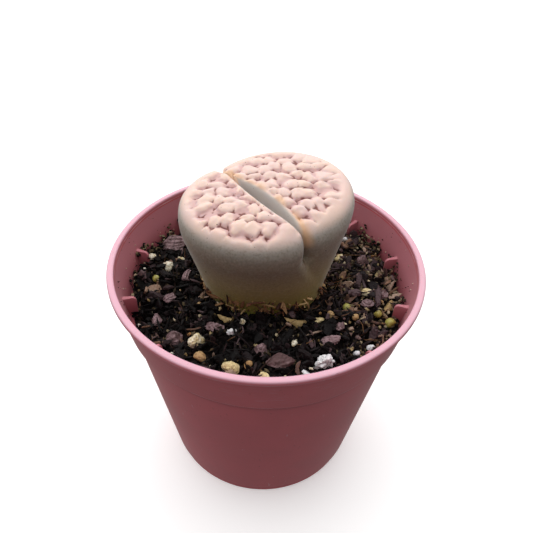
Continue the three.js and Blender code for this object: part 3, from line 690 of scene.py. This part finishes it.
def turned_frames(heading, lean, roll):
    """A rotation for each piece: roll about its own length, lean its nose, then head round the vertical."""
    def spin(angle, first, second):
        matrix = np.tile(np.eye(3), (len(angle), 1, 1))
        matrix[:, first, first] = matrix[:, second, second] = np.cos(angle)
        matrix[:, second, first] = np.sin(angle)
        matrix[:, first, second] = -np.sin(angle)
        return matrix
    return spin(heading, 0, 1) @ spin(lean, 0, 2) @ spin(roll, 1, 2)


def tumbled_frames(random, count):
    """Rotations turned every way."""
    return turned_frames(*random.uniform(0, 2 * np.pi, (3, count)))


def heaped(name, shapes, net, sizes, frames, centres, tones):
    """One mesh of many pieces, each stretched to its size, turned by its frame and set at its centre."""
    laid = np.einsum("nij,nvj->nvi", frames, shapes * sizes[:, None]) + centres[:, None]
    count, corners = laid.shape[:2]
    starts = corners * np.arange(count)[:, None, None]
    nets = [(faces + starts).reshape(-1, faces.shape[1]) for faces in net]
    return made_piece(name, laid.reshape(-1, 3), nets, smooth=False, tone=np.repeat(tones, corners))


def flake_shapes(count, random, columns=7):
    """Thin plates with a broken outline: rings at the underside, the rim and the top, each vertex's radius
    seeded, curled by the square of the distance along."""
    turn = full_turn(columns) + random.uniform(-0.25, 0.25, (count, columns))
    outline = random.uniform(0.62, 1.1, (count, columns))
    rings = []
    for radius, level in ((0.8, -0.5), (1.0, random.uniform(-0.2, 0.2, (count, columns))), (0.78, 0.5)):
        r = radius * outline * 0.5
        rings.append(np.stack([r * np.cos(turn), r * np.sin(turn), level + 0 * r], -1))
    rings = np.concatenate(rings, 1)
    ends = np.zeros((count, 2, 3))
    ends[:, 0, 2], ends[:, 1, 2] = -0.55, 0.6
    shapes = np.concatenate([ends[:, :1], rings, ends[:, 1:]], 1)
    shapes[..., 2] += random.uniform(-1, 1.5, (count, 1)) * (2 * shapes[..., 0]) ** 2
    return shapes, closed_net(3, columns)


def slab_shapes(count, random):
    """Flakes with a finer outline, for the broadest pieces."""
    return flake_shapes(count, random, 13)


def ball_way(tilt, turn):
    """The unit step at each angle up from level and round."""
    return np.stack([np.cos(tilt) * np.cos(turn), np.cos(tilt) * np.sin(turn), np.sin(tilt) + 0 * turn], -1)


def crumb_shapes(count, random, columns=6):
    """Small lumps: a ball of three rings whose vertices each have a seeded radius."""
    rings = ball_way(np.array([-0.9, 0, 0.9])[:, None], full_turn(columns))
    ball = closed_points((0, 0, -1), rings, (0, 0, 1))
    return 0.5 * ball * random.uniform(0.5, 1.3, (count, len(ball), 1)), closed_net(3, columns)


def sized_crumbs(random, count, least, most, squash=0.6):
    """Crumbs, their net and their sizes: `least` to `most` across, with each axis shortened to a seeded share
    of at least `squash`."""
    forms, net = crumb_shapes(count, random)
    return forms, net, random.uniform(least, most, (count, 1)) * random.uniform(squash, 1, (count, 3))


def fibre_shapes(count, random, steps=8, columns=4):
    """Hairs: rings along a path that bends sideways and up by the square and the cube of the way along."""
    t = np.linspace(-1, 1, steps)
    bends = random.normal(0, 1, (count, 2, 2, 1)) * [[[3.0], [1.6]]]
    path = bends[:, :, 0] * t**2 + bends[:, :, 1] * t**3
    thick = 0.5 * heading_way(full_turn(columns)) * (1 - 0.6 * t[:, None, None] ** 2)
    cross = path.transpose(0, 2, 1)[:, :, None] + thick
    rings = np.concatenate([np.broadcast_to(0.5 * t[:, None, None], (*cross.shape[:3], 1)), cross], -1)
    ends = [np.concatenate([np.full((count, 1, 1), 0.5 * t[i]), path[:, None, :, i]], -1) for i in (0, -1)]
    return np.concatenate([ends[0], rings.reshape(count, -1, 3), ends[1]], 1), closed_net(steps, columns)


def dryness(x, y):
    """0 where the mix is damp and near black, in front and on the left, 1 where it is drier, on the right."""
    return smooth_step(x + 0.45 * y, -3, 17)


spread_radius = 26.6
dressing = sorted(set(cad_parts) - {"pot", "soil", "leaf_pair", "root_system"})
dressing_boxes = np.array([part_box(node) for node in dressing]) / MM


def clear_spots(random, count, plant_gap, dressing_gap):
    """Places spread evenly over the soil, at least `plant_gap` off the plant's waist and `dressing_gap`
    outside the ovals of the larger loose pieces."""
    radius = spread_radius * np.sqrt(random.uniform(0, 1, 3 * count))
    spots = radius[:, None] * heading_way(random.uniform(0, 2 * np.pi, 3 * count))
    off = spots - neck_middle
    waist = oval_radius(off[:, 0], off[:, 1], neck_width, neck_depth, neck_squareness)
    over = spots[:, None] - dressing_boxes.mean(1)[:, :2]
    half = (dressing_boxes[:, 1] - dressing_boxes[:, 0])[:, :2] / 2
    beside = (((over / (half + dressing_gap)) ** 2).sum(-1) > 1).all(1)
    return spots[beside & (np.hypot(*off.T) > waist + plant_gap)][:count]


def litter(name, count, seed, shapes, length, width, height, lift, lean, dressing_gap=0.0,
           plant_gap=0.1):
    """A heap over the soil: seeded sizes and heights within the given ranges, lying about `lean` radians off
    flat. Pieces on the damp side are darker: a tone is a random number raised to a power that falls as the
    mix gets drier."""
    random = np.random.default_rng(seed)
    spots = clear_spots(random, count, plant_gap, dressing_gap)
    count = len(spots)
    forms, net = shapes(count, random)
    sizes = np.stack([random.uniform(*ends, count) for ends in (length, width, height)], -1)
    heading, tip, roll = random.uniform(0, 2 * np.pi, count), *random.normal(0, lean, (2, count))
    towards_wall = 0.4 * sizes[:, 0] * np.abs(np.cos(heading - np.arctan2(*spots.T[::-1])))
    inside_wall = spread_radius + 0.2 - towards_wall
    spots = spots * np.minimum(1, inside_wall / np.hypot(*spots.T))[:, None]
    centres = np.column_stack([spots, ground(*spots.T) + random.uniform(*lift, count)])
    tones = random.uniform(0, 1, count) ** (5.0 - 4.4 * dryness(*spots.T))
    return heaped(name, forms, net, sizes, turned_frames(heading, tip, roll), centres, tones)


broad_bark = litter("broad_bark", 80, 100, slab_shapes, length=(2.8, 5.4), width=(1.6, 3.0),
                    height=(0.45, 1.0), lift=(0.2, 1.3), lean=0.55, dressing_gap=0.5, plant_gap=1.7)
bark_flakes = litter("bark_flakes", 900, 200, flake_shapes, length=(1.2, 3.6), width=(0.7, 2.0),
                     height=(0.2, 0.6), lift=(-0.2, 1.3), lean=0.9, dressing_gap=0.3)
bark_slivers = litter("bark_slivers", 620, 300, flake_shapes, length=(1.6, 5.4), width=(0.25, 0.7),
                      height=(0.18, 0.4), lift=(0.1, 1.5), lean=0.6, dressing_gap=0.1)
peat_crumbs = litter("peat_crumbs", 3200, 400, crumb_shapes, length=(0.25, 1.4), width=(0.25, 1.0),
                     height=(0.25, 0.9), lift=(-0.2, 0.8), lean=1.0)
fibres = litter("root_fibres", 200, 500, fibre_shapes, length=(2.5, 7.0), width=(0.1, 0.2),
                height=(0.1, 0.2), lift=(0.4, 1.2), lean=0.25)
grit = litter("fine_grit", 330, 600, crumb_shapes, length=(0.25, 1.2), width=(0.25, 0.9),
              height=(0.25, 0.8), lift=(0.4, 1.4), lean=1.0)

bark_stops = [(0.0, (0.003, 0.002, 0.002)), (0.3, (0.013, 0.008, 0.009)), (0.6, (0.05, 0.029, 0.031)),
              (0.75, (0.12, 0.078, 0.085)), (0.88, (0.22, 0.12, 0.07)), (1.0, (0.42, 0.3, 0.23))]
peat_stops = [(0.0, (0.003, 0.002, 0.002)), (0.35, (0.008, 0.006, 0.005)), (0.6, (0.05, 0.036, 0.022)),
              (0.85, (0.19, 0.145, 0.08)), (1.0, (0.5, 0.4, 0.27))]
fibre_stops = [(0.0, (0.012, 0.006, 0.005)), (0.5, (0.07, 0.03, 0.018)), (0.85, (0.22, 0.11, 0.05)),
               (1.0, (0.4, 0.25, 0.13))]
grit_stops = [(0.0, (0.02, 0.014, 0.01)), (0.15, (0.2, 0.13, 0.05)), (0.3, (0.45, 0.36, 0.19)),
              (0.55, (0.36, 0.17, 0.06)), (0.8, (0.62, 0.54, 0.36)), (1.0, (0.8, 0.76, 0.68))]


def litter_finish(piece, name, stops, roughness, slot, shine=0.15):
    """The colour runs along its stops by each piece's own tone, with fine dusty grain over it."""
    material, paint = new_finish(name)
    dusty = paint.grain(paint.place(), 0.35, 3)
    tone = paint.mark("tone") + 0.3 * dusty - 0.15
    colour = paint.node("ShaderNodeValToRGB", {"stops": stops}, {"Fac": tone})
    colour = paint.blend(dusty.rise(0.6, 0.85) * tone * 0.3, colour, (0.3, 0.25, 0.23))
    lay_on(piece, material, paint, slot, Base_Color=colour, Roughness=roughness + 0.2 * dusty,
           Normal=paint.relief(dusty, 0.2), Specular_IOR_Level=shine)


litter_finish(broad_bark, "broad bark", bark_stops, 0.45, "bark", 0.16)
litter_finish(bark_flakes, "bark flakes", bark_stops, 0.45, "bark", 0.16)
litter_finish(bark_slivers, "split bark", bark_stops, 0.5, "bark", 0.2)
litter_finish(peat_crumbs, "peat crumbs", peat_stops, 0.7, "potting_mix")
litter_finish(fibres, "fibre", fibre_stops, 0.6, "root")
litter_finish(grit, "mixed grit", grit_stops, 0.6, "pumice")

# Piles of drier crumbs lean on the wall: two in three at the back right, the rest at the back left.
wall_random = np.random.default_rng(700)
pile_count = 54
crumbs_each = 14
pile_radius = 26.5
wall_count = crumbs_each * pile_count
pile_turn = np.radians(np.where(np.arange(pile_count) % 3 > 0, wall_random.normal(44, 20, pile_count),
                                wall_random.normal(152, 16, pile_count)))
wall_turn = np.repeat(pile_turn, crumbs_each) + wall_random.normal(0, 0.022, wall_count)
pile_height = np.repeat(wall_random.uniform(0.1, 1, pile_count), crumbs_each)
climb = pile_height * wall_random.uniform(0, 1, wall_count) ** 1.2
wall_way = heading_way(wall_turn)
wall_height = soil_height(*(pile_radius * wall_way).T) - 0.5 + 3.8 * climb
*wall_forms, wall_sizes = sized_crumbs(wall_random, wall_count, 0.25, 1.1, 0.5)
inward = 0.35 * wall_sizes.max(1) + 1.8 * (1 - climb) ** 3 * wall_random.uniform(0, 1, wall_count)
wall_spot = (wall_inside(wall_height) - inward)[:, None] * wall_way
wall_frames = tumbled_frames(wall_random, wall_count)
wall_centres = np.column_stack([wall_spot, wall_height])
wall_crumbs = heaped("wall_crumbs", *wall_forms, wall_sizes, wall_frames, wall_centres,
                     wall_random.uniform(0.2, 1, wall_count) ** 1.1)
litter_finish(wall_crumbs, "drier crumbs", peat_stops, 0.7, "potting_mix")

# ---- Crumbs stuck to the pot and the plant ----
# Splashes of the mix dried on: pale and dark specks on the pot's inner wall, and curled shreds of old leaf
# sheath and crumbs round the foot of the plant.

speck_random = np.random.default_rng(800)
speck_count = 110
speck_way = heading_way(speck_random.uniform(0, 2 * np.pi, speck_count))
speck_height = soil_level + 0.5 + 5.8 * speck_random.uniform(0, 1, speck_count) ** 1.5
speck_spot = (wall_inside(speck_height) - 0.06)[:, None] * speck_way
speck_forms = sized_crumbs(speck_random, speck_count, 0.15, 0.42)
speck_frames = tumbled_frames(speck_random, speck_count)
specks = heaped("wall_specks", *speck_forms, speck_frames, np.column_stack([speck_spot, speck_height]),
                speck_random.uniform(0, 1, speck_count))
speck_stops = [(0.0, (0.02, 0.012, 0.01)), (0.5, (0.07, 0.035, 0.025)), (0.6, (0.5, 0.36, 0.27)),
               (1.0, (0.75, 0.62, 0.52))]
litter_finish(specks, "dried splashes", speck_stops, 0.6, "pumice")


def foot_of_plant(random, count, rise, power):
    """Places on the plant's skin over the soil: where rays from the heart, aimed at an oval near the waist,
    leave it. The higher the power, the lower they crowd."""
    turn = random.uniform(0, 2 * np.pi, count)
    height = soil_level - 0.5 + rise * random.uniform(0, 1, count) ** power
    rays = np.column_stack([11 * np.cos(turn), 10 * np.sin(turn), height - heart[2]])
    rays /= np.linalg.norm(rays, axis=-1, keepdims=True)
    return skin_point(rays) + random.uniform(0, 0.3, (count, 1)) * rays


shred_random = np.random.default_rng(900)
shred_count = 250
shred_forms, shred_net = flake_shapes(shred_count, shred_random)
shred_forms[..., 2] += shred_random.uniform(-4, 4, (shred_count, 1)) * shred_forms[..., 0] ** 2
shred_ranges = ((0.9, 4.4), (0.25, 1.1), (0.1, 0.25))
shred_sizes = np.stack([shred_random.uniform(*ends, shred_count) for ends in shred_ranges], -1)
shred_frames = tumbled_frames(shred_random, shred_count)
shred_spots = foot_of_plant(shred_random, shred_count, 4.2, 1.8)
shreds = heaped("sheath_shreds", shred_forms, shred_net, shred_sizes, shred_frames, shred_spots,
                shred_random.uniform(0.15, 1, shred_count))
shred_stops = [(0.0, (0.015, 0.008, 0.006)), (0.35, (0.07, 0.03, 0.018)), (0.7, (0.24, 0.11, 0.05)),
               (1.0, (0.6, 0.42, 0.2))]
litter_finish(shreds, "dry sheath", shred_stops, 0.5, "dry_leaf", 0.3)
foot_count = 300
foot_rise = np.where(np.arange(foot_count) % 10 > 0, 4.6, 15)
foot_forms = sized_crumbs(shred_random, foot_count, 0.08, 0.4)
foot_frames = tumbled_frames(shred_random, foot_count)
foot_spots = foot_of_plant(shred_random, foot_count, foot_rise, 3.0)
foot_crumbs = heaped("foot_crumbs", *foot_forms, foot_frames, foot_spots,
                     shred_random.uniform(0, 1, foot_count))
litter_finish(foot_crumbs, "dried peat", shred_stops, 0.7, "potting_mix")

# ---- Roots ----
# A tapering main root with side roots, grown down from the foot of the plant: fibrous, pale tan and dusty
# with peat. The mix hides it, so it keeps the frame's own shape and only gets a finish.

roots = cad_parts["root_system"]
material, paint = new_finish("fibrous root")
fibrous = paint.grain(paint.place(), 0.5, 4, (1, 1, 6))
colour = paint.blend(fibrous.rise(0.35, 0.7), (0.2, 0.12, 0.06), (0.5, 0.37, 0.22))
end_finish(paint, Base_Color=colour, Roughness=0.7 + 0.2 * fibrous, Normal=paint.relief(fibrous, 0.2))
for material_slot in roots.material_slots:
    material_slot.material = material

# ---- Top dressing ----
# The larger loose pieces, each pressed into the mix where its frame piece lies: broken bark, pumice, perlite,
# clay pellets, fertiliser prills and shrivelled scraps of old leaf.


def lay_of(node):
    """Middle of a frame piece, its axes from longest to shortest, and its half sizes along them."""
    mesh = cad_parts[node].data
    corners = np.empty(3 * len(mesh.vertices))
    mesh.vertices.foreach_get("co", corners)
    corners = np.unique(np.round(corners.reshape(-1, 3) / MM, 3), axis=0)
    middle = (corners.min(0) + corners.max(0)) / 2
    axes = np.linalg.eigh(np.cov((corners - middle).T))[1].T[::-1].copy()
    axes[2] *= np.sign(np.linalg.det(axes))
    return middle, axes, np.abs((corners - middle) @ axes.T).max(0)


def ripples(points, size, seed, count=12):
    """Smooth noise in space of about -1 to 1: a sum of sine waves about `size` long in seeded directions."""
    random = np.random.default_rng(seed)
    ways = random.normal(size=(count, 3))
    ways /= np.linalg.norm(ways, axis=-1, keepdims=True)
    pace = 2 * np.pi / (size * random.uniform(0.7, 1.5, count))
    phase = random.uniform(0, 2 * np.pi, count)
    return np.sin(points @ (ways * pace[:, None]).T + phase).sum(-1) / np.sqrt(count)


def broken_lump(name, node, seed, cuts, flatness, ease, lobes, lobe_size, layers=0.0, rings=34, columns=48):
    """A ball cut by seeded planes: along each ray its radius is an eased smallest of 1 and of each plane's
    depth over the cosine to it. It is stretched to the frame piece's sizes, its height is stepped into layers
    like split wood, and the absolute value of noise swells it into lobes of `lobe_size` millimetres."""
    random = np.random.default_rng(seed)
    middle, axes, half = lay_of(node)
    tilt = np.linspace(-np.pi / 2, np.pi / 2, rings + 2)[1:-1, None]
    rays = closed_points((0, 0, -1), ball_way(tilt, full_turn(columns)), (0, 0, 1))
    planes = random.normal(size=(cuts, 3)) * [1, 1, flatness]
    planes /= np.maximum(np.linalg.norm(planes, axis=-1, keepdims=True), 1e-6)
    cosine = np.maximum(rays @ planes.T, 1e-3)
    reach = random.uniform(0.6, 0.95, cuts) / cosine
    radius = (1 + (reach**-ease).sum(-1)) ** (-1 / ease)
    points = rays * radius[:, None] * half * 1.08
    if layers:
        level = points[:, 2] / layers + 0.8 * ripples(points, 3.5, seed + 1)
        stepped = np.floor(level) + smooth_step(level % 1, 0.3, 0.7)
        points[:, 2] += 0.8 * layers * (stepped - level)
        points[:, 2] += 0.08 * np.sin(9 * points[:, 1] + 2 * ripples(points, 3, seed + 2))
    lobes = lobes * min(1, half[1] / 1.3)
    rough = 0.3 * ripples(points, lobe_size / 3, seed + 4)
    swell = lobes * (np.abs(ripples(points, lobe_size, seed + 3)) + rough)
    points = points + rays * (swell - 0.4 * lobes)[:, None]
    piece = made_piece(name, middle + points @ axes, closed_net(rings, columns),
                       tone=np.full(len(points), random.uniform()), pit=np.clip(1 - swell / lobes, 0, 1))
    piece.data.set_sharp_from_angle(angle=np.radians(28))
    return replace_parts(piece, node)


def dressed(kind):
    """The frame pieces of a kind, in order, with their numbers."""
    return [(node, node.rsplit("_", 1)[1]) for node in dressing if node.startswith(kind)]


def stone_finish(name, light, dark, pit_colour, roughness, size, shine=0.25):
    """Mottled from one colour to another by a piece's tone and by blotches of `size` millimetres, with
    painted shade darkening its pits."""
    material, paint = new_finish(name)
    place = paint.place()
    mottled = paint.grain(place, size, 4)
    fine = paint.grain(place, 0.12, 3)
    share = (mottled + 0.5 * paint.mark("tone") - 0.25).rise(0.3, 0.7)
    colour = paint.blend(share, dark, light)
    # Painted shade: darker in the pits between the lobes.
    colour = paint.blend(paint.mark("pit").rise(0.5, 1.0) * 0.6, colour, pit_colour)
    colour = paint.blend(fine.rise(0.55, 0.8) * 0.35, colour, pit_colour)
    end_finish(paint, Base_Color=colour, Roughness=roughness + 0.2 * fine, Normal=paint.relief(fine, 0.05),
               Specular_IOR_Level=shine)
    return material


kinds = (
    dict(prefix="bark_chip", name="weathered_bark", finish="weathered bark", slot="bark",
         form=dict(cuts=22, flatness=0.5, ease=34, lobes=0.05, lobe_size=0.9, layers=0.3),
         look=dict(light=(0.34, 0.225, 0.24), dark=(0.11, 0.06, 0.06), pit_colour=(0.03, 0.014, 0.012),
                   roughness=0.45, size=1.3)),
    dict(prefix="pumice_grain", name="pumice", finish="pumice", slot="pumice",
         form=dict(cuts=9, flatness=1, ease=9, lobes=0.14, lobe_size=1.1),
         look=dict(light=(0.9, 0.85, 0.7), dark=(0.72, 0.58, 0.3), pit_colour=(0.32, 0.21, 0.09),
                   roughness=0.5, size=0.9)),
    dict(prefix="perlite_grain", name="perlite", finish="perlite", slot="perlite",
         form=dict(cuts=6, flatness=1, ease=4, lobes=0.36, lobe_size=1.3),
         look=dict(light=(0.9, 0.9, 0.9), dark=(0.78, 0.78, 0.8), pit_colour=(0.35, 0.34, 0.36),
                   roughness=0.7, size=0.6)),
    dict(prefix="clay_pellet", name="clay_pellet", finish="baked clay", slot="baked_clay",
         form=dict(cuts=5, flatness=1, ease=7, lobes=0.05, lobe_size=0.7),
         look=dict(light=(0.55, 0.36, 0.17), dark=(0.33, 0.17, 0.06), pit_colour=(0.16, 0.08, 0.04),
                   roughness=0.5, size=0.8)),
    dict(prefix="fertiliser_prill", name="resin_prill", finish="resin", slot="prill_resin",
         form=dict(cuts=1, flatness=1, ease=6, lobes=0.03, lobe_size=0.9),
         look=dict(light=(0.46, 0.44, 0.11), dark=(0.33, 0.27, 0.05), pit_colour=(0.2, 0.15, 0.04),
                   roughness=0.22, size=0.9, shine=0.5)),
)
for number, kind in enumerate(kinds):
    material = stone_finish(kind["finish"], **kind["look"])
    for place, (node, label) in enumerate(dressed(kind["prefix"])):
        seed = 1000 + 50 * number + place
        piece = broken_lump(f"{kind['name']}_detail_{label}", node, seed, **kind["form"])
        piece.data.materials.append(material)


def curled_scrap(name, node, seed, rings=40, columns=20):
    """A shrivelled strip: along its length each ring is a thin oval, cupped by the square of the way across.
    It narrows to both ends by a power of the way along, and arches and twists a little."""
    random = np.random.default_rng(seed)
    middle, axes, half = lay_of(node)
    t = np.linspace(-0.985, 0.985, rings)[:, None]
    turn = full_turn(columns)
    width = half[1] * 0.95 * (1 - np.abs(t) ** 2.2) ** 0.7 * (1 - 0.35 * t)
    across = np.cos(turn) * width * (1 + 0.12 * np.sin(7 * t + 3 * np.cos(turn)))
    thick = np.sin(turn) * 0.07 + 1.1 * across**2 / half[1] - 0.5 * half[2] * t**2
    thick = thick + 0.05 * np.sin(11 * t + 2 * turn)
    twist = random.uniform(-0.6, 0.6) * t
    points = np.stack([half[0] * t + 0 * turn, across * np.cos(twist) - thick * np.sin(twist),
                       across * np.sin(twist) + thick * np.cos(twist)], -1)
    points = closed_points(points[0].mean(0), points, points[-1].mean(0))
    piece = made_piece(name, middle + points @ axes, closed_net(rings, columns),
                       tone=np.full(len(points), random.uniform()), pit=np.zeros(len(points)))
    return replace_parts(piece, node)


material = stone_finish("dry leaf", light=(0.56, 0.42, 0.2), dark=(0.36, 0.24, 0.1),
                        pit_colour=(0.2, 0.1, 0.04), roughness=0.5, size=0.7)
for node, label in dressed("leaf_scrap"):
    piece = curled_scrap(f"curled_scrap_{label}", node, 1400 + int(label))
    piece.data.materials.append(material)

# ---- Studio ----
# A pale floor under a wide soft dome of light, brightest high behind the plant and dim low in front. The
# floor is hidden from diffuse and glossy rays, so it casts no light up on the pot.

sky_dim = 0.2
sky_bright = 2.0
brightest_way = (-0.16, 0.52, 0.84)
world = bpy.data.worlds.new("soft dome")
world.use_nodes = True
world.node_tree.nodes.clear()
paint = Wire(world.node_tree)
direction = paint.node("ShaderNodeTexCoord", output="Generated")
lean = paint.node("ShaderNodeVectorMath", {"operation": "DOT_PRODUCT"}, {0: direction, 1: brightest_way},
                  "Value")
strength = sky_dim + (sky_bright - sky_dim) * lean.rise(0.0, 1.0)
background = paint.node("ShaderNodeBackground", inputs={"Color": (1, 1, 1), "Strength": strength})
paint.node("ShaderNodeOutputWorld", inputs={"Surface": background})
bpy.context.scene.world = world

floor_mesh = bpy.data.meshes.new("floor")
reach = 3
floor_mesh.from_pydata([(-reach, -reach, 0), (reach, -reach, 0), (reach, reach, 0), (-reach, reach, 0)], [],
                       [(0, 1, 2, 3)])
floor = bpy.data.objects.new("floor", floor_mesh)
bpy.context.scene.collection.objects.link(floor)
material, paint = new_finish("pale floor")
end_finish(paint, Base_Color=(0.9, 0.9, 0.9), Roughness=0.9, Emission_Color=(1, 1, 1), Emission_Strength=0.25)
floor_mesh.materials.append(material)
floor.visible_diffuse = False
floor.visible_glossy = False

# The camera looks down on the plant from the front.
lens = bpy.data.cameras.new("camera")
lens.sensor_width = 36
lens.lens = 38.86
lens.clip_start = 0.01
camera = bpy.data.objects.new("camera", lens)
camera.location = (0, -0.08448, 0.12045)
looking_down = np.radians(90 - 40.83)
roll = np.radians(1.74)
camera.rotation_euler = (Matrix.Rotation(looking_down, 3, "X") @ Matrix.Rotation(roll, 3, "Z")).to_euler()
bpy.context.scene.collection.objects.link(camera)
bpy.context.scene.camera = camera
bpy.context.scene.view_settings.view_transform = "Standard"
